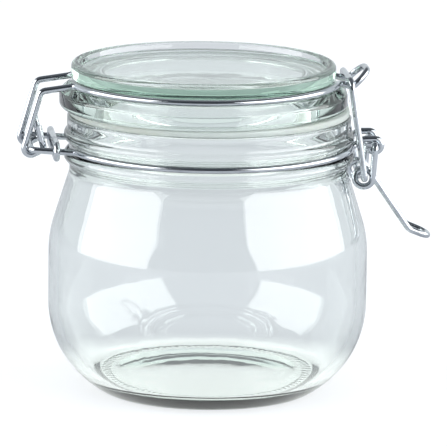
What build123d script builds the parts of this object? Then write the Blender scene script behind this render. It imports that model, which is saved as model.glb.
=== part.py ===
from build123d import *
import math
import os

# Lidded glass canister with a wire bail closure. Millimetres, +Z up.
# The origin is the centre of the ring that the jar stands on, on the jar's own axis.
# The lid's hinge is on the -X side, and the clasp is on the +X side.

# ---------------------------------------------------------------- driving dimensions
# Jar body
BODY_R = 50.0
HEEL_ROUND = 32.0  # round of the heel, seen from the side
SHOULDER_ROUND = 34.0
SHOULDER_LEAN = 17.5  # the round ends at this many degrees, in a straight slope
WALL = 3.2
FLOOR_Z = 5.6  # inside floor above the table
STAND_OUT_R = 34.0  # standing ring
STAND_IN_R = 30.5
PUNT = 2.6  # height of the hollow under the floor

# Jar neck
LIP_Z = 87.0
LIP_ROUND = 0.9
NECK_R = 44.4
NECK_WALL = 4.8
BEAD_SWELL = 1.0  # beads beyond the neck
BEAD_UP = 3.2  # height of each bead's middle above and below the neck wire
BEAD_HALF = 2.0  # half the height of a bead
GROOVE_DEPTH = 0.8  # neck wire's groove and the waist, inside the neck
NECK_WIRE_DROP = 9.7  # lip to neck wire
WAIST_DROP = 18.0  # lip to where the shoulder's slope meets the waist
WAIST_ROUND = 8.0

# Lid. It hangs back towards its hinge by the play of its wires.
LID_SHIFT = -1.9
FLANGE_OUT = 0.6  # flange beyond the neck
FLANGE_EDGE = 5.0  # flange underside to its upper edge
FLANGE_ROUND = 1.8
LID_GROOVE_IN = 4.0  # groove's floor inside the flange
GROOVE_LOW = 7.1  # flange underside to the groove's lower and upper sides
GROOVE_HIGH = 9.6
LID_WIRE_RISE = 8.4  # flange underside to the lid wire
RIM_SWELL = 0.3  # rim beyond the groove's floor
RIM_WALL = 2.7
RIM_ROUND = 1.3
RIM_IN_ROUND = 1.2
LID_RISE = 14.1  # flange underside to the top of the rim
DISH_DEPTH = 2.2  # top of the rim to the floor of the dish
DISH_FLOOR = 3.8
DISH_ROUND = 0.9
DISH_DRAFT = 0.7  # the dish is this much smaller in radius at its floor
PLUG_PLAY = 3.4  # ring under the lid, inside the jar's bore
PLUG_DEPTH = 3.0
PLUG_WALL = 2.4
PLUG_ROUND = 1.0
HOLLOW_ROUND = 2.5  # hollow under the lid
HOLLOW_DRAFT = 0.8  # it is this much smaller in radius at its top

# Gasket
GASKET_T = 2.1
GASKET_PLAY = 2.2  # round the ring under the lid
GASKET_INSET = 0.5  # inside the neck
GASKET_ROUND = 0.7

# Wires
WIRE_D = 2.0
GLASS_GAP = 0.05  # glass to wire and to gasket
PIN_GAP = 0.06  # radial clearance of an eye on its pin
SIDE_GAP = 0.2  # crank beside its eye
COIL_GAP = 0.3  # between the coil's two ends, and the bail beside the crank
COIL_PLAY = 0.7  # coil round the bail's foot
HOOK_GAP = 0.1  # crossbar above the tongue
CLIP_GAP = 0.12  # clip round the hinge loop
LEG_GAP = 1.2  # lid wire's legs beside the hinge loop
RUN_IN = 3.0  # straight run between a ring and the bend that leaves it
BEND_R = 1.8  # usual bend of a wire
SHARP_IN_R = 0.2  # inside radius of the sharpest bends

# Hinge side. Out is away from the jar's axis, and in is towards it.
HINGE_OUT = 11.75  # pin beyond the neck wire's ring
HINGE_UP = 1.0
LEG_Y = 10.3  # lid wire's legs, each side of the middle
LEG_BEND_IN = 3.0  # legs' upper bend from the pin
LEG_BEND_DROP = 1.5  # and below the lid wire's ring
LEG_BEND_R = 2.2
TAIL_IN = 2.3  # tail's upper end from the pin
TAIL_UP = 6.9
TAIL_FOOT_IN = 4.0  # tail's lower end from the pin
TAIL_FOOT_DROP = 0.3
CLIP_OUT = 4.05  # clip beyond the neck wire's ring

# Clasp side
PIVOT_OUT = 6.65  # lever's pivot beyond the neck wire's ring
PIVOT_UP = 0.5
ARM_Y = 7.0  # neck wire's arms, each side of the middle
ARM_RISE_IN = 3.4  # where an arm has risen to the top of its eye, from the pivot
ARM_EYE_TURN = 250.0
STUB_OVERHANG = 0.6  # lever's ends beyond the arms
TONGUE_Y = 7.2  # lid wire's tongue, each side of the middle
TONGUE_OUT = 4.0  # tongue's bend beyond the lid wire's ring
TONGUE_DROP = 1.1
TONGUE_LENGTH = 6.7
TONGUE_ANGLE = 44.0
TONGUE_ROUND = 5.2
CROSSBAR_IN = 1.1  # crossbar from the tongue's bend
CROSSBAR_ROUND = 3.0
FOOT_IN = 3.5  # bail's feet from the lever's pivot
FOOT_DROP = 10.0
FOOT_END_Y = 6.0
COIL_BENDS = 4
HANDLE_OUT = 15.1  # handle's bend from the bail's feet
HANDLE_DROP = 17.2
HANDLE_Y = 4.8
HANDLE_ROUND = 4.0
TIP_OUT = 6.4  # handle's tip from its bend
TIP_DROP = 2.6
TIP_Y = 4.2
TIP_ROUND = 3.9

# ---------------------------------------------------------------- derived places
GROOVE_R = NECK_R - GROOVE_DEPTH
BORE_R = NECK_R - NECK_WALL
NECK_WIRE_Z = LIP_Z - NECK_WIRE_DROP
FLANGE_R = NECK_R + FLANGE_OUT
LID_GROOVE_R = FLANGE_R - LID_GROOVE_IN
RIM_R = LID_GROOVE_R + RIM_SWELL
PLUG_R = BORE_R - PLUG_PLAY
GASKET_Z = LIP_Z + GLASS_GAP
LID_Z = GASKET_Z + GASKET_T + GLASS_GAP  # flange underside
LID_WIRE_Z = LID_Z + LID_WIRE_RISE

WIRE_R = WIRE_D / 2
SHARP_R = WIRE_R + SHARP_IN_R
EYE_R = WIRE_D + PIN_GAP
COIL_R = WIRE_D + COIL_PLAY
COIL_BEND_R = 0.97 * COIL_R
NECK_RING_R = GROOVE_R + WIRE_R + GLASS_GAP
LID_RING_R = LID_GROOVE_R + WIRE_R + GLASS_GAP
LOOP_Y = LEG_Y + WIRE_D + LEG_GAP
CRANK_Y = ARM_Y + WIRE_D + SIDE_GAP
BAIL_Y = CRANK_Y + WIRE_D + COIL_GAP

# Places in the middle plane, as (x, z)
HINGE = (-NECK_RING_R - HINGE_OUT, NECK_WIRE_Z + HINGE_UP)
LEG_BEND = (HINGE[0] + LEG_BEND_IN, LID_WIRE_Z - LEG_BEND_DROP)
PIVOT = (NECK_RING_R + PIVOT_OUT, NECK_WIRE_Z + PIVOT_UP)
FOOT = (PIVOT[0] - FOOT_IN, PIVOT[1] - FOOT_DROP)
HANDLE = (FOOT[0] + HANDLE_OUT, FOOT[1] - HANDLE_DROP)
TONGUE_BEND = (LID_SHIFT + LID_RING_R + TONGUE_OUT, LID_WIRE_Z - TONGUE_DROP)


# ---------------------------------------------------------------- helpers
def profile(*edges):
    """A solid of revolution about Z from the closed outline that these edges make."""
    return revolve(make_face(Wire([edge for line in edges for edge in line.edges()])), Axis.Z)


def on_circle(centre, radius, angle, y=0.0):
    """A point of a circle in an XZ plane. Degrees, anticlockwise from +X as seen from -Y."""
    turn = math.radians(angle)
    return (centre[0] + radius * math.cos(turn), y, centre[1] + radius * math.sin(turn))


def arc_on(centre, radius, start, end, y=0.0):
    """An arc in an XZ plane, between two angles in degrees."""
    return ThreePointArc(*[on_circle(centre, radius, a, y) for a in (start, (start + end) / 2, end)])


def bearing(start, end):
    """The direction in degrees from one (x, z) place to another, and their distance."""
    dx, dz = end[0] - start[0], end[1] - start[1]
    return math.degrees(math.atan2(dz, dx)), math.hypot(dx, dz)


def height_on(x, low, high):
    """The height at x of the straight run between two (x, z) places."""
    return low[1] + (high[1] - low[1]) * (x - low[0]) / (high[0] - low[0])


def route(*lines):
    """One path from lines that follow each other."""
    return Wire([edge for line in lines for edge in line.edges()])


def round_wire(path):
    """Round wire along a path."""
    return sweep(Plane(origin=path @ 0, z_dir=path % 0) * Circle(WIRE_R), path=path)


def reflect(points):
    """The same points on the other side of the middle plane, in reverse order."""
    return [(x, -y, z) for x, y, z in reversed(points)]


def ring_exit(radius, y, side, centre_x=0.0):
    """Where a ring is left for the line at y: the ring's last point and the bend after it, in plan."""
    turn = math.asin((y + RUN_IN) / radius)
    last_x = side * radius * math.cos(turn)
    return (centre_x + last_x, y + RUN_IN), (centre_x + last_x + side * RUN_IN * math.tan(turn), y)


def ring_halves(radius, z, ends, centre_x=0.0):
    """The two arcs of a ring between its last points on the +X side and on the -X side."""
    (front_x, front_y), (back_x, back_y) = ends
    return [
        ThreePointArc((front_x, s * front_y, z), (centre_x, s * radius, z), (back_x, s * back_y, z))
        for s in (-1, 1)
    ]


# ---------------------------------------------------------------- jar
def jar():
    heel_turn = math.degrees(math.acos(1 - (BODY_R - STAND_OUT_R) / HEEL_ROUND))
    heel = (BODY_R - HEEL_ROUND, HEEL_ROUND * math.sin(math.radians(heel_turn)))
    waist_z = LIP_Z - WAIST_DROP
    lean = math.radians(SHOULDER_LEAN)
    slope_r = BODY_R - SHOULDER_ROUND * (1 - math.cos(lean))
    slope_z = waist_z - (slope_r - GROOVE_R) / math.tan(lean)
    shoulder = (BODY_R - SHOULDER_ROUND, slope_z - SHOULDER_ROUND * math.sin(lean))
    low_bead, high_bead = NECK_WIRE_Z - BEAD_UP, NECK_WIRE_Z + BEAD_UP
    bead_r = NECK_R + BEAD_SWELL
    bead_height = bead_r - GROOVE_R
    bead_round = (BEAD_HALF**2 + bead_height**2) / (2 * bead_height)
    bead_centre = bead_r - bead_round
    bead_end = high_bead + math.sqrt(bead_round**2 - (NECK_R - bead_centre) ** 2)
    outside = [
        arc_on(heel, HEEL_ROUND, -heel_turn, 0),
        Line((BODY_R, 0, heel[1]), (BODY_R, 0, shoulder[1])),
        arc_on(shoulder, SHOULDER_ROUND, 0, SHOULDER_LEAN),
        FilletPolyline(
            (slope_r, 0, slope_z),
            (GROOVE_R, 0, waist_z),
            (GROOVE_R, 0, low_bead - BEAD_HALF),
            radius=WAIST_ROUND,
        ),
        ThreePointArc(
            (GROOVE_R, 0, low_bead - BEAD_HALF),
            (bead_r, 0, low_bead),
            (GROOVE_R, 0, low_bead + BEAD_HALF),
        ),
        Line((GROOVE_R, 0, low_bead + BEAD_HALF), (GROOVE_R, 0, high_bead - BEAD_HALF)),
        ThreePointArc(
            (GROOVE_R, 0, high_bead - BEAD_HALF),
            (bead_r, 0, high_bead),
            (NECK_R, 0, bead_end),
        ),
    ]
    lip = FilletPolyline(
        (NECK_R, 0, bead_end),
        (NECK_R, 0, LIP_Z),
        (BORE_R, 0, LIP_Z),
        (BORE_R, 0, bead_end),
        radius=LIP_ROUND,
    )
    inner_shoulder = SHOULDER_ROUND - WALL
    throat = on_circle(shoulder, inner_shoulder, SHOULDER_LEAN)
    throat_z = throat[2] + (throat[0] - BORE_R) / math.tan(lean)
    inner_heel = HEEL_ROUND - WALL
    floor_turn = math.degrees(math.asin((heel[1] - FLOOR_Z) / inner_heel))
    inside = [
        FilletPolyline((BORE_R, 0, bead_end), (BORE_R, 0, throat_z), throat, radius=WAIST_ROUND),
        arc_on(shoulder, inner_shoulder, SHOULDER_LEAN, 0),
        Line((BODY_R - WALL, 0, shoulder[1]), (BODY_R - WALL, 0, heel[1])),
        arc_on(heel, inner_heel, 0, -floor_turn),
        Line(on_circle(heel, inner_heel, -floor_turn), (0, 0, FLOOR_Z)),
    ]
    punt_round = (STAND_IN_R**2 + PUNT**2) / (2 * PUNT)
    punt_turn = math.degrees(math.asin(STAND_IN_R / punt_round))
    under = [
        Line((0, 0, FLOOR_Z), (0, 0, PUNT)),
        arc_on((0, PUNT - punt_round), punt_round, 90, 90 - punt_turn),
        Line((STAND_IN_R, 0, 0), (STAND_OUT_R, 0, 0)),
    ]
    return profile(*outside, lip, *inside, *under)


# ---------------------------------------------------------------- lid and gasket
def lid():
    dish_rise = LID_RISE - DISH_DEPTH
    underside = dish_rise - DISH_FLOOR
    rim_in_r = RIM_R - RIM_WALL
    corners = [
        (PLUG_R - PLUG_WALL - HOLLOW_DRAFT, underside, HOLLOW_ROUND),
        (PLUG_R - PLUG_WALL, -PLUG_DEPTH, PLUG_ROUND),
        (PLUG_R, -PLUG_DEPTH, PLUG_ROUND),
        (PLUG_R, 0, 0.4),
        (FLANGE_R, 0, FLANGE_ROUND),
        (FLANGE_R, FLANGE_EDGE, FLANGE_ROUND),
        (LID_RING_R + 0.5, GROOVE_LOW, 0.4),
        (LID_GROOVE_R, GROOVE_LOW, 0.4),
        (LID_GROOVE_R, GROOVE_HIGH, 0.5),
        (RIM_R, GROOVE_HIGH + 1.1, 1.0),
        (RIM_R, LID_RISE, RIM_ROUND),
        (rim_in_r, LID_RISE, RIM_IN_ROUND),
        (rim_in_r - DISH_DRAFT, dish_rise, DISH_ROUND),
    ]
    outline = FilletPolyline(
        (0, 0, underside),
        *[(r, 0, z) for r, z, _ in corners],
        (0, 0, dish_rise),
        radius=[corner for _, _, corner in corners],
    )
    level = profile(outline, Line((0, 0, dish_rise), (0, 0, underside)))
    return Pos(LID_SHIFT, 0, LID_Z) * level


def gasket():
    inner_r = PLUG_R + GASKET_PLAY
    width = NECK_R - GASKET_INSET - inner_r
    middle = Pos(inner_r + width / 2, GASKET_Z + GASKET_T / 2)
    return revolve(Plane.XZ * middle * RectangleRounded(width, GASKET_T, GASKET_ROUND), Axis.Z)


# ---------------------------------------------------------------- wires
def neck_wire():
    """Ring in the neck's groove, with a hinge loop at the back and two arms with eyes at the front."""
    front_last, front_bend = ring_exit(NECK_RING_R, ARM_Y, 1)
    back_last, back_bend = ring_exit(NECK_RING_R, LOOP_Y, -1)
    arm_z = PIVOT[1] + EYE_R
    arm = [
        (PIVOT[0], -ARM_Y, arm_z),
        (PIVOT[0] - ARM_RISE_IN, -ARM_Y, arm_z),
        (front_bend[0], -ARM_Y, NECK_WIRE_Z),
        (front_last[0], -front_last[1], NECK_WIRE_Z),
    ]
    loop = [
        (back_last[0], -back_last[1], NECK_WIRE_Z),
        (back_bend[0], -LOOP_Y, NECK_WIRE_Z),
        (HINGE[0], -LOOP_Y, HINGE[1]),
    ]
    near, far = ring_halves(NECK_RING_R, NECK_WIRE_Z, (front_last, back_last))
    eye_end = 90 - ARM_EYE_TURN
    return round_wire(
        route(
            arc_on(PIVOT, EYE_R, eye_end, 90, -ARM_Y),
            FilletPolyline(*arm, radius=BEND_R),
            near,
            FilletPolyline(*loop, *reflect(loop), radius=BEND_R),
            far,
            FilletPolyline(*reflect(arm), radius=BEND_R),
            arc_on(PIVOT, EYE_R, 90, eye_end, ARM_Y),
        )
    )


def clip_ring():
    """Long ring that ties the two wires of the hinge loop together."""
    bend = ring_exit(NECK_RING_R, LOOP_Y, -1)[1]
    clip_x = -NECK_RING_R - CLIP_OUT
    middle_z = height_on(clip_x, (bend[0], NECK_WIRE_Z), HINGE)
    half = WIRE_D + CLIP_GAP

    def corner(y, z):
        return (clip_x, y, middle_z + z)

    return round_wire(
        route(
            Line(corner(-LOOP_Y, half), corner(LOOP_Y, half)),
            ThreePointArc(corner(LOOP_Y, half), corner(LOOP_Y + half, 0), corner(LOOP_Y, -half)),
            Line(corner(LOOP_Y, -half), corner(-LOOP_Y, -half)),
            ThreePointArc(corner(-LOOP_Y, -half), corner(-LOOP_Y - half, 0), corner(-LOOP_Y, half)),
        )
    )


def lid_wire():
    """Ring in the lid's groove, with two legs that hinge at the back and the tongue at the front."""
    front_last, front_bend = ring_exit(LID_RING_R, TONGUE_Y, 1, LID_SHIFT)
    back_last, back_bend = ring_exit(LID_RING_R, LEG_Y, -1, LID_SHIFT)
    leg_angle, leg_reach = bearing(LEG_BEND, HINGE)
    eye_start = leg_angle - math.degrees(math.asin(EYE_R / leg_reach)) + 270
    tail_foot = (HINGE[0] + TAIL_FOOT_IN, HINGE[1] - TAIL_FOOT_DROP)
    tail_angle, tail_reach = bearing(HINGE, tail_foot)
    eye_end = tail_angle - math.degrees(math.acos(EYE_R / tail_reach)) + 360
    tail = [
        (HINGE[0] + TAIL_IN, -LEG_Y, HINGE[1] + TAIL_UP),
        (tail_foot[0], -LEG_Y, tail_foot[1]),
        on_circle(HINGE, EYE_R, eye_end, -LEG_Y),
    ]
    leg = [
        on_circle(HINGE, EYE_R, eye_start, -LEG_Y),
        (LEG_BEND[0], -LEG_Y, LEG_BEND[1]),
        (back_bend[0], -LEG_Y, LID_WIRE_Z),
        (back_last[0], -back_last[1], LID_WIRE_Z),
    ]
    tongue = [
        (front_last[0], -front_last[1], LID_WIRE_Z),
        (front_bend[0], -TONGUE_Y, LID_WIRE_Z),
        (TONGUE_BEND[0], -TONGUE_Y, TONGUE_BEND[1]),
        on_circle(TONGUE_BEND, TONGUE_LENGTH, TONGUE_ANGLE, -TONGUE_Y),
    ]
    near, far = ring_halves(LID_RING_R, LID_WIRE_Z, (front_last, back_last), LID_SHIFT)
    return round_wire(
        route(
            FilletPolyline(*tail, radius=SHARP_R),
            arc_on(HINGE, EYE_R, eye_end, eye_start, -LEG_Y),
            FilletPolyline(*leg, radius=[LEG_BEND_R, BEND_R]),
            near,
            FilletPolyline(
                *tongue,
                *reflect(tongue),
                radius=[BEND_R, BEND_R, TONGUE_ROUND, TONGUE_ROUND, BEND_R, BEND_R],
            ),
            far,
            FilletPolyline(*reflect(leg), radius=[BEND_R, LEG_BEND_R]),
            arc_on(HINGE, EYE_R, eye_start, eye_end, LEG_Y),
            FilletPolyline(*reflect(tail), radius=SHARP_R),
        )
    )


def lever():
    """Ends in the neck wire's eyes, cranks, coils round the bail's feet, and a finger loop."""
    pivot_angle, pivot_reach = bearing(FOOT, PIVOT)
    coil_start = pivot_angle - math.degrees(math.acos(COIL_R / pivot_reach))
    handle_angle, handle_reach = bearing(FOOT, HANDLE)
    coil_end = handle_angle + math.degrees(math.acos(COIL_R / handle_reach)) - 360
    step = (coil_end - coil_start) / COIL_BENDS
    corner_r = COIL_R / math.cos(math.radians(step / 2))
    sideways = (WIRE_D + COIL_GAP) / (COIL_BENDS - 1)
    coil = [
        on_circle(FOOT, corner_r, coil_start + (i + 0.5) * step, i * sideways - CRANK_Y)
        for i in range(COIL_BENDS)
    ]
    side = [
        (PIVOT[0], WIRE_R + STUB_OVERHANG - ARM_Y, PIVOT[1]),
        (PIVOT[0], -CRANK_Y, PIVOT[1]),
        *coil,
        (HANDLE[0], -HANDLE_Y, HANDLE[1]),
        (HANDLE[0] + TIP_OUT, -TIP_Y, HANDLE[1] - TIP_DROP),
    ]
    bends = [SHARP_R, *[COIL_BEND_R] * COIL_BENDS, HANDLE_ROUND, TIP_ROUND]
    return round_wire(FilletPolyline(*side, *reflect(side), radius=bends + bends[::-1]))


def closing_bail():
    """Feet in the lever's coils, two legs, and the crossbar that lies on the tongue."""
    tongue_root = (ring_exit(LID_RING_R, TONGUE_Y, 1, LID_SHIFT)[1][0], LID_WIRE_Z)
    crossbar_x = TONGUE_BEND[0] - CROSSBAR_IN
    crossbar_z = height_on(crossbar_x, tongue_root, TONGUE_BEND) + WIRE_D + HOOK_GAP
    side = [
        (FOOT[0], -FOOT_END_Y, FOOT[1]),
        (FOOT[0], -BAIL_Y, FOOT[1]),
        (crossbar_x, -BAIL_Y, crossbar_z),
    ]
    bends = [SHARP_R, CROSSBAR_ROUND]
    return round_wire(FilletPolyline(*side, *reflect(side), radius=bends + bends[::-1]))


PIECES = {
    "jar": jar,
    "lid": lid,
    "gasket": gasket,
    "lid_wire": lid_wire,
    "neck_wire": neck_wire,
    "clip_ring": clip_ring,
    "lever": lever,
    "closing_bail": closing_bail,
}

if __name__ == "__main__":
    os.makedirs("parts", exist_ok=True)
    for name, make in PIECES.items():
        export_step(make(), f"parts/{name}.step")
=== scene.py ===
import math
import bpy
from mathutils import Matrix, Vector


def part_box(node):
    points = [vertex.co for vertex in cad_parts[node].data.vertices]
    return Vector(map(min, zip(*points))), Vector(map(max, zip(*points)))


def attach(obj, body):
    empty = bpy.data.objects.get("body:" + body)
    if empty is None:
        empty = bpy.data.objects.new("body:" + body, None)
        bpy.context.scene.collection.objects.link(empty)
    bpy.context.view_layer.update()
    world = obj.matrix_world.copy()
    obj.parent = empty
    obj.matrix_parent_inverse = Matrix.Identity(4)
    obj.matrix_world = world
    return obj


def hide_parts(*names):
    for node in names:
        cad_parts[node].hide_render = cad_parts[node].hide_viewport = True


bl_info = {
    "name": "Lidded Glass Canister",
    "version": (1, 0, 0),
    "blender": (4, 5, 0),
    "location": "View3D > Sidebar > Canister",
    "description": "Glass jar with a hinged glass lid, a gasket and a wire bail closure",
    "category": "Add Mesh",
}

import bmesh
import bpy
from mathutils import Matrix, Vector

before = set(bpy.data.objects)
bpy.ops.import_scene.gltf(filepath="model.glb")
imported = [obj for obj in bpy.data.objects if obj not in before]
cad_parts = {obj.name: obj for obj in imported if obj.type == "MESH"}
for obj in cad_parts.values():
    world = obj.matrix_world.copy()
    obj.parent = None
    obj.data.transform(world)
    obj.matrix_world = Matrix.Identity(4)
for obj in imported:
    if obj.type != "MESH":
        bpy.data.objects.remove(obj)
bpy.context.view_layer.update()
MM = 0.001
JAR_LOW, JAR_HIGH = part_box("jar")
LID_LOW, LID_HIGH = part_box("lid")
GASKET_LOW, GASKET_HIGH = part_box("gasket")

# How fine the meshes are, in metres and in counts
OUTLINE_SLACK = 8e-6
OUTLINE_STEP = 1.2 * MM
LID_STEP = 4 * MM
SEGMENTS_PER_RIDGE = 3
GASKET_SEGMENTS = 256
FLOOR_SEGMENTS = 96

# How many times per metre a surface changes
LONG_WAVES = 45.0
SHORT_WAVES = 160.0
HANDLED_PATCHES = 28.0
WORN_PATCHES = 120.0
DRAWING_MARKS = 1400.0
AGED_PATCHES = 60.0
RUBBER_GRAIN = 2600.0
FLOOR_CLOUDS = 3.0

# How tall the marks on a surface are, in metres
WAVE_HEIGHT = 0.004
GRAIN_HEIGHT = 0.0003

# The floor, in metres
FLOOR_IN_R = 0.2
FLOOR_R = 3.2
FLOOR_STEP = 0.5
FLOOR_GAP = 0.1 * MM

# Where ridges fade out beside a ring, in metres
RIDGE_INSET = 0.2 * MM
FOOT_FADE = 0.5 * MM
RIM_FADE = 0.3 * MM

# The middle of the dark room behind the camera, in radians above the table
ROOM_ELEVATION = 0.15

# The camera's sensor, in millimetres
SENSOR_WIDTH = 36.0

WHITE = (1.0, 1.0, 1.0, 1.0)


# ---------------------------------------------------------------- properties
def length(name, description, default):
    """A size in metres that a user can change."""
    return bpy.props.FloatProperty(
        name=name, description=description, default=default, min=0.0, unit="LENGTH", precision=5
    )


def share(name, description, default, top=1.0):
    """A plain number from nought to top."""
    return bpy.props.FloatProperty(
        name=name, description=description, default=default, min=0.0, max=top
    )


def colour(name, description, default):
    """A colour that a user can change."""
    return bpy.props.FloatVectorProperty(
        name=name,
        description=description,
        default=default,
        min=0.0,
        max=1.0,
        size=3,
        subtype="COLOR",
    )


def degrees(name, description, default):
    """An angle, given in degrees and kept in radians."""
    return bpy.props.FloatProperty(
        name=name, description=description, default=math.radians(default), subtype="ANGLE"
    )


class CanisterJarSizes(bpy.types.PropertyGroup):
    """Sizes of the jar's outline and of what the mould leaves on it."""

    body_r: length("Body radius", "Radius of the straight wall", JAR_HIGH.x)
    lip_z: length("Lip height", "Height of the lip above the table", JAR_HIGH.z)
    heel_round: length("Heel round", "Radius of the round at the foot", 32 * MM)
    shoulder_round: length("Shoulder round", "Radius of the round under the neck", 34 * MM)
    wall: length("Wall", "Thickness of the blown wall", 3.2 * MM)
    floor_z: length("Floor", "Height of the inside floor", 5.6 * MM)
    stand_out_r: length("Standing ring, outside", "Outer radius of the standing ring", 34 * MM)
    stand_in_r: length("Standing ring, inside", "Inner radius of the standing ring", 30.5 * MM)
    punt: length("Punt", "Height of the hollow underneath", 2.6 * MM)
    neck_r: length("Neck radius", "Radius of the neck above the beads", 44.4 * MM)
    neck_wall: length("Neck wall", "Thickness of the pressed neck", 4.8 * MM)
    lip_round: length("Lip round", "Radius of the lip's two edges", 0.9 * MM)
    bead_swell: length("Bead height", "How far a bead stands out from the neck", 1.0 * MM)
    bead_up: length("Bead distance", "Each bead's middle from the neck wire", 3.2 * MM)
    bead_half: length("Bead half width", "Half the width of a bead", 2.0 * MM)
    groove_depth: length("Groove depth", "Depth of the neck wire's groove", 0.8 * MM)
    wire_drop: length("Wire below lip", "Neck wire below the lip", 9.7 * MM)
    waist_drop: length("Waist below lip", "Where the slope meets the waist", 18.0 * MM)
    waist_round: length("Waist round", "Radius between the slope and the waist", 8.0 * MM)
    lean: degrees("Shoulder lean", "Where the shoulder's round ends in a straight slope", 17.5)
    ridges: bpy.props.IntProperty(
        name="Foot ridges", description="Short ridges round the standing ring", default=96, min=3
    )
    ridge_depth: length("Foot ridge depth", "Depth of the grooves between them", 0.35 * MM)
    seam: length("Mould seam", "Depth of the two lines that the mould leaves", 0.07 * MM)
    seam_turn: degrees("Seam direction", "Where the first seam stands", -120.0)
    seam_low: length("Seam, lower end", "Height above the table", 4 * MM)
    seam_high: length("Seam, upper end", "Height above the table", 60 * MM)
    straight_foot: length("Straight wall, foot", "Where the heel begins to turn in", 28 * MM)
    straight_top: length("Straight wall, top", "Where the shoulder begins to turn in", 46 * MM)


class CanisterLidSizes(bpy.types.PropertyGroup):
    """Sizes of the lid's outline and of its ridged rim."""

    flange_r: length("Flange radius", "Outer radius of the flange", (LID_HIGH.x - LID_LOW.x) / 2)
    flange_edge: length("Flange edge", "Height of the flange's upper edge", 5.0 * MM)
    groove_in: length("Groove inset", "Groove's floor inside the flange", 4.0 * MM)
    shelf: length("Groove shelf", "Width of the groove's lower side", 1.55 * MM)
    groove_low: length("Groove, lower side", "Above the flange's underside", 7.1 * MM)
    groove_high: length("Groove, upper side", "Above the flange's underside", 9.6 * MM)
    rim_out: length("Rim step", "Rim's outside beyond the groove's floor", 0.3 * MM)
    rim_foot: length("Rim foot", "Rim's straight outside above the groove", 1.1 * MM)
    rim_wall: length("Rim wall", "Thickness of the raised rim", 2.7 * MM)
    rim_round: length("Rim round, outside", "Radius of the rim's outer edge", 1.3 * MM)
    rim_in_round: length("Rim round, inside", "Radius of the rim's inner edge", 1.2 * MM)
    dish_depth: length("Dish depth", "From the rim's top to the dish's floor", 2.2 * MM)
    dish_draft: length("Dish draft", "How far the dish's wall leans in", 0.7 * MM)
    dish_round: length("Dish round", "Radius at the foot of the dish's wall", 0.9 * MM)
    dish_floor: length("Dish thickness", "Thickness of the dish's floor", 3.8 * MM)
    hollow_draft: length("Hollow draft", "How far the hollow's wall leans in", 0.8 * MM)
    hollow_round: length("Hollow round", "Radius at the top of the hollow", 2.5 * MM)
    plug_r: length("Plug radius", "Outer radius of the ring underneath", 36.2 * MM)
    plug_wall: length("Plug wall", "Thickness of the ring underneath", 2.4 * MM)
    plug_depth: length("Plug depth", "Depth of the ring underneath", 3.0 * MM)
    plug_round: length("Plug round", "Radius of the ring's edges", 1.0 * MM)
    flange_round: length("Flange round", "Radius of the flange's edges", 1.8 * MM)
    corner_round: length("Corner round", "Radius of the lid's small corners", 0.4 * MM)
    ridges: bpy.props.IntProperty(
        name="Rim ridges", description="Short ridges round the top of the rim", default=264, min=3
    )
    ridge_height: length("Rim ridge height", "Depth of the grooves between the ridges", 0.16 * MM)
    ridge_width: length("Rim ridge width", "How far out from the dish the ridges reach", 1.6 * MM)
    ridge_drop: length("Rim ridge drop", "How far down from the rim's top they reach", 0.5 * MM)


class CanisterGlass(bpy.types.PropertyGroup):
    """Colour and surface of the pressed and blown glass."""

    tint: colour("Tint", "What thick glass lets through", (0.14, 0.64, 0.34))
    density: share("Tint strength", "How fast thick glass turns green, per metre", 9.0, 200.0)
    ior: share("Index of refraction", "How strongly the glass bends light", 1.5, 3.0)
    waviness: share("Waviness", "How uneven the blown surface is", 0.018)
    pressed_share: share("Lid waviness", "The pressed lid's share of the waviness", 0.25)
    haze: share("Haze", "Roughness where the glass has been handled", 0.02)


class CanisterMetal(bpy.types.PropertyGroup):
    """Colour and surface of the drawn wire."""

    bright: colour("Bright wire", "Where the wire is polished", (0.54, 0.57, 0.60))
    dull: colour("Dull wire", "Where the wire has dulled", (0.38, 0.40, 0.43))
    roughness: share("Roughness", "Roughness of the bright wire", 0.12)
    drawing: share("Drawing marks", "Depth of the fine marks from drawing the wire", 0.06)


class CanisterRubber(bpy.types.PropertyGroup):
    """Size, colour and surface of the gasket."""

    width: length("Width", "From the hole to the outer edge", 5.5 * MM)
    edge_round: length("Edge round", "Radius of the four edges", 0.7 * MM)
    milky: colour("Milky", "Main colour of the gasket", (0.80, 0.85, 0.82))
    aged: colour("Aged", "Where the gasket has yellowed a little", (0.76, 0.79, 0.72))
    roughness: share("Roughness", "Roughness of the rubber", 0.42)
    clearness: share("Clearness", "How much light passes through the rubber", 0.6)
    ior: share("Index of refraction", "How strongly the rubber bends light", 1.42, 3.0)
    grain: share("Grain", "Depth of the moulded grain", 0.12)


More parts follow.
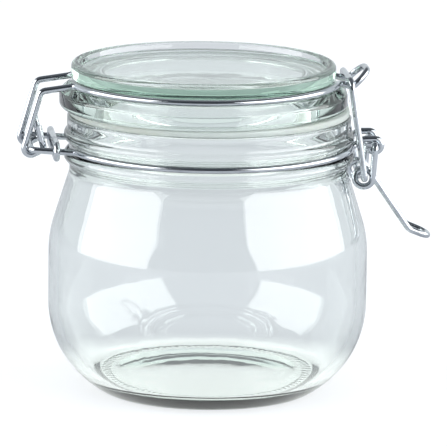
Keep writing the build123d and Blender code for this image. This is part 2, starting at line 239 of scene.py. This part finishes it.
class CanisterStage(bpy.types.PropertyGroup):
    """Camera, floor and lights."""

    distance: length("Camera distance", "From the camera to the jar's axis", 1.6)
    azimuth: degrees("Camera azimuth", "Round the jar, from its front", -6.0)
    elevation: degrees("Camera elevation", "Above the table", 11.4)
    roll: degrees("Camera roll", "Tilt of the camera about its own view", 0.7)
    target_z: length("Target height", "Height that the camera is set up on", 52 * MM)
    aside: length("Aim aside", "How far to the right of the axis the camera looks", 4.85 * MM)
    lens: share("Focal length", "Focal length in millimetres, on a 36 mm sensor", 411.0, 2000.0)
    floor: colour("Floor", "Colour of the floor", (0.42, 0.43, 0.45))
    floor_lift: colour("Floor lift", "Extra light of the floor through glass", (0.16, 0.16, 0.17))
    # Painted pool of light on the floor under the jar, seen only through glass and in reflections;
    # it stands in for light passing through the glass.
    under: colour("Under the jar", "Light of the floor under the jar", (0.70, 0.72, 0.70))
    painted_pool_inner_r: length("Under the jar, inside", "Up to here the floor is at its brightest", 38 * MM)
    painted_pool_edge: length("Under the jar, edge", "From here on the floor has its lift only", 70 * MM)
    floor_seen: colour("Floor, seen", "Extra light, seen directly", (0.55, 0.55, 0.55))
    backdrop: colour("Backdrop", "Light from the pale backdrop", (0.80, 0.85, 0.88))
    ceiling: colour("Ceiling", "Light from above, where no lamp hangs", (0.16, 0.17, 0.19))
    room: colour("Room", "Light from behind the camera", (0.05, 0.06, 0.07))
    through: share("Room through glass", "How much less glass shows of the dark room", 0.75)
    softbox: share("Softbox", "Brightness of the two softboxes", 3.4, 100.0)
    softbox_height: length("Softbox height", "Height of the two softboxes", 1.05)
    softbox_distance: length("Softbox distance", "From the jar to both softboxes", 1.25)
    left_azimuth: degrees("Left softbox", "Turn from the camera's side", -75.0)
    left_width: length("Left softbox width", "Width of the left softbox", 1.6)
    right_azimuth: degrees("Right softbox", "Turn from the camera's side", 76.0)
    right_width: length("Right softbox width", "Width of the right softbox", 2.2)
    softbox_elevation: degrees("Softbox elevation", "Softboxes' middle above the table", 20.5)


# ---------------------------------------------------------------- shader maths
class Value:
    """A number in a node tree. Python's operators on it add Math nodes."""

    def __init__(self, tree, socket):
        self.tree = tree
        self.socket = socket

    def maths(self, operation, first, second):
        node = self.tree.nodes.new("ShaderNodeMath")
        node.operation = operation
        for entry, value in zip(node.inputs, (first, second)):
            if isinstance(value, Value):
                self.tree.links.new(value.socket, entry)
            else:
                entry.default_value = value
        return Value(self.tree, node.outputs[0])

    def __add__(self, other):
        return self.maths("ADD", self, other)

    __radd__ = __add__

    def __sub__(self, other):
        return self.maths("SUBTRACT", self, other)

    def __rsub__(self, other):
        return self.maths("SUBTRACT", other, self)

    def __mul__(self, other):
        return self.maths("MULTIPLY", self, other)

    __rmul__ = __mul__


class Nodes:
    """A node tree, and the one way that this file adds nodes to it."""

    def __init__(self, tree):
        self.tree = tree
        tree.nodes.clear()

    def add(self, kind, settings=(), **sockets):
        """Adds a node, sets it up, then sets or links its sockets by name."""
        node = self.tree.nodes.new(kind)
        for name, value in dict(settings).items():
            setattr(node, name, value)
        for name, value in sockets.items():
            number = name.startswith("i") and name[1:].isdigit()
            entry = node.inputs[int(name[1:]) if number else name.replace("_", " ")]
            if isinstance(value, Value):
                self.tree.links.new(value.socket, entry)
            elif isinstance(value, bpy.types.NodeSocket):
                self.tree.links.new(value, entry)
            else:
                entry.default_value = value
        return node

    def number(self, socket):
        return Value(self.tree, socket)

    def noise(self, vector, scale, detail=2.0):
        """Noise from nought to one."""
        node = self.add("ShaderNodeTexNoise", Vector=vector, Scale=scale, Detail=detail)
        return self.number(node.outputs["Fac"])

    def step(self, value, low, high):
        """A soft step from nought at low to one at high."""
        node = self.add(
            "ShaderNodeMapRange",
            {"interpolation_type": "SMOOTHSTEP", "clamp": True},
            Value=value,
            From_Min=low,
            From_Max=high,
        )
        return self.number(node.outputs["Result"])

    def blend(self, factor, first, second):
        """A mix of two colours."""
        node = self.add("ShaderNodeMix", {"data_type": "RGBA"}, i0=factor, i6=first, i7=second)
        return node.outputs[2]


def rgba(tone):
    return (tone[0], tone[1], tone[2], 1.0)


def new_material(name):
    """A material with an empty node tree."""
    material = bpy.data.materials.new(name)
    material.use_nodes = True
    return material, Nodes(material.node_tree)


# ---------------------------------------------------------------- materials
def glass_material(name, look, waviness):
    """Clear glass that turns green with thickness, a little wavy and a little handled."""
    material, nodes = new_material(name)
    place = nodes.add("ShaderNodeTexCoord").outputs["Object"]
    waves = nodes.noise(place, LONG_WAVES) + 0.35 * nodes.noise(place, SHORT_WAVES)
    bump = nodes.add("ShaderNodeBump", Strength=waviness, Distance=WAVE_HEIGHT, Height=waves)
    handled = nodes.step(nodes.noise(place, HANDLED_PATCHES, 4.0), 0.5, 0.75)
    shader = nodes.add(
        "ShaderNodeBsdfPrincipled",
        Base_Color=WHITE,
        Transmission_Weight=1.0,
        IOR=look.ior,
        Roughness=handled * look.haze,
        Normal=bump.outputs["Normal"],
    )
    tint = nodes.add("ShaderNodeVolumeAbsorption", Color=rgba(look.tint), Density=look.density)
    nodes.add(
        "ShaderNodeOutputMaterial", Surface=shader.outputs["BSDF"], Volume=tint.outputs["Volume"]
    )
    return material


def wire_material(name, look):
    """Bright drawn wire with dull patches and fine marks."""
    material, nodes = new_material(name)
    place = nodes.add("ShaderNodeTexCoord").outputs["Object"]
    worn = nodes.step(nodes.noise(place, WORN_PATCHES, 5.0), 0.45, 0.75)
    marks = nodes.noise(place, DRAWING_MARKS, 3.0)
    bump = nodes.add("ShaderNodeBump", Strength=look.drawing, Distance=GRAIN_HEIGHT, Height=marks)
    shader = nodes.add(
        "ShaderNodeBsdfPrincipled",
        Base_Color=nodes.blend(worn, rgba(look.bright), rgba(look.dull)),
        Metallic=1.0,
        Roughness=look.roughness + 0.16 * worn,
        Normal=bump.outputs["Normal"],
    )
    nodes.add("ShaderNodeOutputMaterial", Surface=shader.outputs["BSDF"])
    return material


def rubber_material(name, look):
    """Milky rubber with a fine moulded grain."""
    material, nodes = new_material(name)
    place = nodes.add("ShaderNodeTexCoord").outputs["Object"]
    aged = nodes.step(nodes.noise(place, AGED_PATCHES, 3.0), 0.4, 0.7)
    grain = nodes.noise(place, RUBBER_GRAIN)
    bump = nodes.add("ShaderNodeBump", Strength=look.grain, Distance=GRAIN_HEIGHT, Height=grain)
    shader = nodes.add(
        "ShaderNodeBsdfPrincipled",
        Base_Color=nodes.blend(aged, rgba(look.milky), rgba(look.aged)),
        Transmission_Weight=look.clearness,
        IOR=look.ior,
        Roughness=look.roughness + 0.15 * grain,
        Normal=bump.outputs["Normal"],
    )
    nodes.add("ShaderNodeOutputMaterial", Surface=shader.outputs["BSDF"])
    return material


def floor_material(name, look):
    """Plain matt floor that glows a little, most where it is seen directly. Seen through glass or
    in reflections it glows brightest under the jar, a painted pool of light that stands in for
    light passing through the glass.
    """
    material, nodes = new_material(name)
    place = nodes.add("ShaderNodeTexCoord").outputs["Object"]
    cloudy = nodes.noise(place, FLOOR_CLOUDS)
    straight_on = nodes.number(nodes.add("ShaderNodeLightPath").outputs["Is Camera Ray"])
    away = nodes.add("ShaderNodeVectorMath", {"operation": "LENGTH"}, i0=place)
    # Painted pool of light: seen through glass or in reflections, the floor under the jar glows
    # brightest and fades to the plain lift further out.
    outside = nodes.step(nodes.number(away.outputs["Value"]), look.painted_pool_inner_r, look.painted_pool_edge)
    glow = nodes.blend(outside, rgba(look.under), rgba(look.floor_lift))
    glow = nodes.blend(straight_on, glow, rgba(look.floor_seen))
    shader = nodes.add(
        "ShaderNodeBsdfPrincipled",
        Base_Color=rgba(look.floor),
        Roughness=0.6 + 0.2 * cloudy,
        Specular_IOR_Level=0.1,
        Emission_Color=glow,
        Emission_Strength=1.0,
    )
    nodes.add("ShaderNodeOutputMaterial", Surface=shader.outputs["BSDF"])
    return material


# ---------------------------------------------------------------- outlines
def arc(centre, radius, start, end):
    """Points of an arc, close enough together to stay within OUTLINE_SLACK of it."""
    span = 2 * math.acos(1 - min(OUTLINE_SLACK / radius, 0.3))
    count = max(2, math.ceil(abs(end - start) / span))
    turns = [start + (end - start) * i / count for i in range(count + 1)]
    return [(centre[0] + radius * math.cos(t), centre[1] + radius * math.sin(t)) for t in turns]


def straight(start, end, step=OUTLINE_STEP):
    """Points of a straight run, both ends included."""
    count = max(1, math.ceil(math.dist(start, end) / step))
    return [
        (start[0] + (end[0] - start[0]) * i / count, start[1] + (end[1] - start[1]) * i / count)
        for i in range(count + 1)
    ]


def bow(start, top, end):
    """An arc through three points."""
    a, b, c = (Vector(p) for p in (start, top, end))
    u, v = b - a, c - a
    cross = 2 * (u.x * v.y - u.y * v.x)
    centre = a + Vector((v.y * u.dot(u) - u.y * v.dot(v), u.x * v.dot(v) - v.x * u.dot(u))) / cross
    first, last = a - centre, c - centre
    begin = math.atan2(first.y, first.x)
    turn = math.atan2(first.x * last.y - first.y * last.x, first.dot(last))
    return arc(centre, first.length, begin, begin + turn)


def rounded(corners, step=OUTLINE_STEP):
    """Points along a polyline of (r, z, round) corners, with each corner rounded."""
    points = [corners[0][:2]]
    for before, (r, z, radius), after in zip(corners, corners[1:], corners[2:]):
        corner = Vector((r, z))
        back = (Vector(before[:2]) - corner).normalized()
        on = (Vector(after[:2]) - corner).normalized()
        half = math.acos(max(-1.0, min(1.0, back.dot(on)))) / 2
        reach = radius / math.tan(half)
        middle = corner + (back + on).normalized() * (radius / math.sin(half))
        nearest = middle + (corner - middle).normalized() * radius
        bend = bow(corner + back * reach, nearest, corner + on * reach)
        points += straight(points[-1], bend[0], step)[1:] + bend[1:]
    return points + straight(points[-1], corners[-1][:2], step)[1:]


def joined(*runs):
    """One list of points from runs that follow each other."""
    points = list(runs[0])
    for run in runs[1:]:
        points += run[1:]
    return points


def jar_outline(s):
    """The jar's outline from the axis underneath, round the outside and back inside."""
    heel_turn = math.acos(1 - (s.body_r - s.stand_out_r) / s.heel_round)
    heel = (s.body_r - s.heel_round, s.heel_round * math.sin(heel_turn))
    groove_r = s.neck_r - s.groove_depth
    bore_r = s.neck_r - s.neck_wall
    waist_z = s.lip_z - s.waist_drop
    slope_r = s.body_r - s.shoulder_round * (1 - math.cos(s.lean))
    slope_z = waist_z - (slope_r - groove_r) / math.tan(s.lean)
    shoulder = (s.body_r - s.shoulder_round, slope_z - s.shoulder_round * math.sin(s.lean))
    wire_z = s.lip_z - s.wire_drop
    low, high = wire_z - s.bead_up, wire_z + s.bead_up
    bead_r = s.neck_r + s.bead_swell
    height = bead_r - groove_r
    bead_round = (s.bead_half**2 + height**2) / (2 * height)
    bead_end = high + math.sqrt(bead_round**2 - (s.neck_r - bead_r + bead_round) ** 2)
    punt_round = (s.stand_in_r**2 + s.punt**2) / (2 * s.punt)
    punt_turn = math.asin(s.stand_in_r / punt_round)
    quarter = math.pi / 2
    shoulder_inside = arc(shoulder, s.shoulder_round - s.wall, s.lean, 0)
    throat_r, throat_z = shoulder_inside[0]
    throat_z += (throat_r - bore_r) / math.tan(s.lean)
    inner_heel = s.heel_round - s.wall
    floor_turn = math.asin((heel[1] - s.floor_z) / inner_heel)
    heel_inside = arc(heel, inner_heel, 0, -floor_turn)
    lip = rounded(
        [
            (s.neck_r, bead_end),
            (s.neck_r, s.lip_z, s.lip_round),
            (bore_r, s.lip_z, s.lip_round),
            (bore_r, throat_z, s.waist_round),
            shoulder_inside[0],
        ]
    )
    waist = rounded(
        [
            (slope_r, slope_z),
            (groove_r, waist_z, s.waist_round),
            (groove_r, low - s.bead_half),
        ]
    )
    return joined(
        arc((0, s.punt - punt_round), punt_round, quarter, quarter - punt_turn),
        straight((s.stand_in_r, 0), (s.stand_out_r, 0), 0.5 * MM),
        arc(heel, s.heel_round, -heel_turn, 0),
        straight((s.body_r, heel[1]), (s.body_r, shoulder[1])),
        arc(shoulder, s.shoulder_round, 0, s.lean),
        waist,
        bow((groove_r, low - s.bead_half), (bead_r, low), (groove_r, low + s.bead_half)),
        straight((groove_r, low + s.bead_half), (groove_r, high - s.bead_half)),
        bow((groove_r, high - s.bead_half), (bead_r, high), (s.neck_r, bead_end)),
        lip,
        shoulder_inside,
        straight(shoulder_inside[-1], heel_inside[0]),
        heel_inside,
        straight(heel_inside[-1], (0, s.floor_z), 3 * MM),
    )


def lid_rim(s):
    """The radii of the groove's floor and the rim's outside and inside, and the rim's height."""
    groove_r = s.flange_r - s.groove_in
    rim_r = groove_r + s.rim_out
    return groove_r, rim_r, rim_r - s.rim_wall, LID_HIGH.z - LID_LOW.z - s.plug_depth


def lid_outline(s):
    """The lid's outline, with nought at its flange's underside, from the axis to the axis."""
    groove_r, rim_r, rim_in_r, top = lid_rim(s)
    dish_rise = top - s.dish_depth
    under = dish_rise - s.dish_floor
    plug_in_r = s.plug_r - s.plug_wall
    return rounded(
        [
            (0, under),
            (plug_in_r - s.hollow_draft, under, s.hollow_round),
            (plug_in_r, -s.plug_depth, s.plug_round),
            (s.plug_r, -s.plug_depth, s.plug_round),
            (s.plug_r, 0, s.corner_round),
            (s.flange_r, 0, s.flange_round),
            (s.flange_r, s.flange_edge, s.flange_round),
            (groove_r + s.shelf, s.groove_low, s.corner_round),
            (groove_r, s.groove_low, s.corner_round),
            (groove_r, s.groove_high, 0.5 * MM),
            (rim_r, s.groove_high + s.rim_foot, 1.0 * MM),
            (rim_r, top, s.rim_round),
            (rim_in_r, top, s.rim_in_round),
            (rim_in_r - s.dish_draft, dish_rise, s.dish_round),
            (0, dish_rise),
        ],
        LID_STEP,
    )


# ---------------------------------------------------------------- meshes
def turned(name, outline, segments, centre=(0.0, 0.0, 0.0), shape=None):
    """A turned piece. shape(r, z, turn) may move a point of the outline at a turn."""
    mesh = bmesh.new()
    rows = []
    for r, z in outline:
        if r < 1e-7:
            rows.append([mesh.verts.new(Vector((0, 0, z)) + Vector(centre))])
            continue
        row = []
        for i in range(segments):
            turn = 2 * math.pi * i / segments
            rr, zz = shape(r, z, turn) if shape else (r, z)
            place = Vector((rr * math.cos(turn), rr * math.sin(turn), zz))
            row.append(mesh.verts.new(place + Vector(centre)))
        rows.append(row)
    pairs = list(zip(rows, rows[1:]))
    if len(rows[0]) > 1:
        pairs.append((rows[-1], rows[0]))
    for low, high in pairs:
        for i in range(segments):
            j = (i + 1) % segments
            if len(low) == 1:
                mesh.faces.new((low[0], high[j], high[i]))
            elif len(high) == 1:
                mesh.faces.new((low[i], low[j], high[0]))
            else:
                mesh.faces.new((low[i], low[j], high[j], high[i]))
    for face in mesh.faces:
        face.smooth = True
    bmesh.ops.recalc_face_normals(mesh, faces=mesh.faces)
    data = bpy.data.meshes.new(name)
    mesh.to_mesh(data)
    mesh.free()
    piece = bpy.data.objects.new(name, data)
    bpy.context.scene.collection.objects.link(piece)
    return piece


def dress(piece, material, body, slot, *nodes):
    """Gives a piece its material and its body, and hides the CAD nodes that it stands for."""
    piece.data.materials.append(material)
    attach(piece, body)
    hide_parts(*nodes)


def between(value, low, high, edge):
    """One between low and high, and falling to nought within edge of each of them."""
    return max(0.0, min(1.0, (value - low) / edge, (high - value) / edge))


# ---------------------------------------------------------------- operators
class CANISTER_OT_make_jar(bpy.types.Operator):
    """Makes the blown jar with its beaded neck, ridged foot and mould seams"""

    bl_idname = "canister.make_jar"
    bl_label = "Make Jar"

    def execute(self, context):
        s = context.scene.canister_jar
        segments = s.ridges * SEGMENTS_PER_RIDGE

        def mould(r, z, turn):
            inner, outer = s.stand_in_r + RIDGE_INSET, s.stand_out_r - RIDGE_INSET
            ring = between(r, inner, outer, FOOT_FADE)
            if z < 1e-6 and ring:
                return r, ring * s.ridge_depth * (0.5 - 0.5 * math.cos(s.ridges * turn))
            near = abs(math.remainder(turn - s.seam_turn, math.pi))
            height = max(s.straight_foot - z, z - s.straight_top, 0.0)
            outside = math.hypot(r - s.body_r + s.heel_round, height) > s.heel_round - s.wall / 2
            if outside and s.seam_low < z < s.seam_high and near < math.pi / segments:
                return r - s.seam, z
            return r, z

        jar = turned("jar_glass", jar_outline(s), segments, shape=mould)
        look = context.scene.canister_glass
        material = glass_material("Jar glass", look, look.waviness)
        dress(jar, material, "canister", "jar_glass", "jar")
        return {"FINISHED"}


class CANISTER_OT_make_lid(bpy.types.Operator):
    """Makes the pressed lid with its dish, flange, wire groove and ridged rim"""

    bl_idname = "canister.make_lid"
    bl_label = "Make Lid"

    def execute(self, context):
        s = context.scene.canister_lid
        _, _, rim_in_r, top = lid_rim(s)

        def press(r, z, turn):
            high = between(z, top - s.ridge_drop, top + s.ridge_drop, RIDGE_INSET)
            inside = between(r, rim_in_r + RIDGE_INSET, rim_in_r + s.ridge_width, RIM_FADE)
            ridge = 0.5 + 0.5 * math.cos(s.ridges * turn)
            return r, z - s.ridge_height * high * inside * ridge

        centre = ((LID_LOW.x + LID_HIGH.x) / 2, 0.0, LID_LOW.z + s.plug_depth)
        segments = s.ridges * SEGMENTS_PER_RIDGE
        lid = turned("lid_glass", lid_outline(s), segments, centre, press)
        look = context.scene.canister_glass
        material = glass_material("Lid glass", look, look.waviness * look.pressed_share)
        dress(lid, material, "lid", "lid_glass", "lid")
        return {"FINISHED"}


class CANISTER_OT_make_gasket(bpy.types.Operator):
    """Makes the flat rubber gasket"""

    bl_idname = "canister.make_gasket"
    bl_label = "Make Gasket"

    def execute(self, context):
        look = context.scene.canister_rubber
        outer = GASKET_HIGH.x
        inner = outer - look.width
        low, high = GASKET_LOW.z, GASKET_HIGH.z
        middle = (low + high) / 2
        edge = look.edge_round
        outline = rounded(
            [
                (inner, middle),
                (inner, low, edge),
                (outer, low, edge),
                (outer, high, edge),
                (inner, high, edge),
                (inner, middle),
            ]
        )[:-1]
        gasket = turned("gasket_rubber", outline, GASKET_SEGMENTS)
        material = rubber_material("Gasket rubber", look)
        dress(gasket, material, "lid", "gasket", "gasket")
        return {"FINISHED"}


class CANISTER_OT_finish_wires(bpy.types.Operator):
    """Finishes the five bent wires"""

    bl_idname = "canister.finish_wires"
    bl_label = "Finish Wires"

    def execute(self, context):
        material = wire_material("Drawn wire", context.scene.canister_metal)
        for node in ("lid_wire", "neck_wire", "clip_ring", "lever", "closing_bail"):
            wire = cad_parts[node]
            for slot in wire.material_slots:
                slot.material = material
        return {"FINISHED"}


def toward(azimuth, elevation):
    """The unit vector from the object to a viewer. Nought degrees is the front."""
    flat = math.cos(elevation)
    return Vector((math.sin(azimuth) * flat, -math.cos(azimuth) * flat, math.sin(elevation)))


class CANISTER_OT_make_stage(bpy.types.Operator):
    """Makes the floor, the lights and the camera"""

    bl_idname = "canister.make_stage"
    bl_label = "Make Stage"

    def execute(self, context):
        s = context.scene.canister_stage
        self.make_floor(s)
        self.make_room(context.scene, s)
        self.make_softbox("Left softbox", s, s.left_azimuth, s.left_width)
        self.make_softbox("Right softbox", s, s.right_azimuth, s.right_width)
        self.make_camera(context.scene, s)
        context.scene.view_settings.view_transform = "Standard"
        return {"FINISHED"}

    def make_floor(self, s):
        """A round floor, with a hair's gap under the jar."""
        turns = [2 * math.pi * i / FLOOR_SEGMENTS for i in range(FLOOR_SEGMENTS)]
        mesh = bmesh.new()
        rows = [[mesh.verts.new((0, 0, 0))]]
        for r, _ in straight((FLOOR_IN_R, 0.0), (FLOOR_R, 0.0), FLOOR_STEP):
            rows.append([mesh.verts.new((r * math.cos(t), r * math.sin(t), 0)) for t in turns])
        for low, high in zip(rows, rows[1:]):
            for i in range(FLOOR_SEGMENTS):
                j = (i + 1) % FLOOR_SEGMENTS
                inner = low[:1] if len(low) == 1 else [low[j], low[i]]
                mesh.faces.new([high[i], high[j], *inner])
        data = bpy.data.meshes.new("Floor")
        mesh.to_mesh(data)
        mesh.free()
        floor = bpy.data.objects.new("Floor", data)
        floor.location.z = -FLOOR_GAP
        data.materials.append(floor_material("Pale floor", s))
        bpy.context.scene.collection.objects.link(floor)

    def make_room(self, scene, s):
        """A pale backdrop, which shiny things reflect as darker overhead and toward the camera."""
        world = bpy.data.worlds.new("Studio")
        world.use_nodes = True
        scene.world = world
        nodes = Nodes(world.node_tree)
        way = nodes.add("ShaderNodeTexCoord").outputs["Generated"]
        split = nodes.add("ShaderNodeSeparateXYZ", Vector=way)
        viewer = toward(s.azimuth, ROOM_ELEVATION)
        front = nodes.add("ShaderNodeVectorMath", {"operation": "DOT_PRODUCT"}, i0=way, i1=viewer)
        near = nodes.step(nodes.number(front.outputs["Value"]), 0.40, 0.75)
        above = nodes.step(nodes.number(split.outputs["Z"]), 0.35, 0.75)
        light = nodes.blend(above, rgba(s.backdrop), rgba(s.ceiling))
        light = nodes.blend(near, light, rgba(s.room))
        rays = nodes.add("ShaderNodeLightPath")
        glossy = nodes.number(rays.outputs["Is Glossy Ray"])
        passing = nodes.number(rays.outputs["Is Transmission Ray"])
        seen = nodes.blend(glossy * (1 - s.through * passing), rgba(s.backdrop), light)
        seen = nodes.blend(nodes.number(rays.outputs["Is Camera Ray"]), seen, WHITE)
        back = nodes.add("ShaderNodeBackground", Color=seen, Strength=1.0)
        nodes.add("ShaderNodeOutputWorld", Surface=back.outputs["Background"])

    def make_softbox(self, name, s, azimuth, width):
        lamp = bpy.data.lights.new(name, "AREA")
        lamp.shape = "RECTANGLE"
        lamp.size = width
        lamp.size_y = s.softbox_height
        lamp.energy = s.softbox * math.pi * lamp.size * lamp.size_y
        box = bpy.data.objects.new(name, lamp)
        box.location = toward(s.azimuth + azimuth, s.softbox_elevation) * s.softbox_distance
        box.rotation_euler = box.location.to_track_quat("Z", "Y").to_euler()
        box.visible_camera = False
        bpy.context.scene.collection.objects.link(box)

    def make_camera(self, scene, s):
        back = toward(s.azimuth, s.elevation)
        right = Vector((math.cos(s.azimuth), math.sin(s.azimuth), 0.0))
        up = back.cross(right)
        data = bpy.data.cameras.new("Camera")
        data.lens = s.lens
        data.sensor_width = SENSOR_WIDTH
        data.clip_end = 50.0
        camera = bpy.data.objects.new("Camera", data)
        axes = Matrix((right, up, back)).transposed().to_4x4()
        camera.matrix_world = (
            Matrix.Translation(Vector((0, 0, s.target_z)) + right * s.aside + back * s.distance)
            @ axes
            @ Matrix.Rotation(s.roll, 4, "Z")
        )
        scene.collection.objects.link(camera)
        scene.camera = camera


# ---------------------------------------------------------------- panel
STEPS = (
    CANISTER_OT_make_jar,
    CANISTER_OT_make_lid,
    CANISTER_OT_make_gasket,
    CANISTER_OT_finish_wires,
    CANISTER_OT_make_stage,
)
GROUPS = {
    "canister_jar": CanisterJarSizes,
    "canister_lid": CanisterLidSizes,
    "canister_glass": CanisterGlass,
    "canister_metal": CanisterMetal,
    "canister_rubber": CanisterRubber,
    "canister_stage": CanisterStage,
}


class CANISTER_PT_sidebar(bpy.types.Panel):
    """Lists the pieces and their settings"""

    bl_idname = "CANISTER_PT_sidebar"
    bl_label = "Glass Canister"
    bl_space_type = "VIEW_3D"
    bl_region_type = "UI"
    bl_category = "Canister"

    def draw(self, context):
        for step in STEPS:
            self.layout.operator(step.bl_idname)
        for name, group in GROUPS.items():
            box = self.layout.box()
            for entry in group.__annotations__:
                box.prop(getattr(context.scene, name), entry)


def register():
    for cls in (*GROUPS.values(), *STEPS, CANISTER_PT_sidebar):
        bpy.utils.register_class(cls)
    for name, group in GROUPS.items():
        setattr(bpy.types.Scene, name, bpy.props.PointerProperty(type=group))


def unregister():
    for name in GROUPS:
        delattr(bpy.types.Scene, name)
    for cls in reversed((*GROUPS.values(), *STEPS, CANISTER_PT_sidebar)):
        bpy.utils.unregister_class(cls)


def main():
    register()
    bpy.ops.canister.make_jar()
    bpy.ops.canister.make_lid()
    bpy.ops.canister.make_gasket()
    bpy.ops.canister.finish_wires()
    bpy.ops.canister.make_stage()


if __name__ == "__main__":
    main()
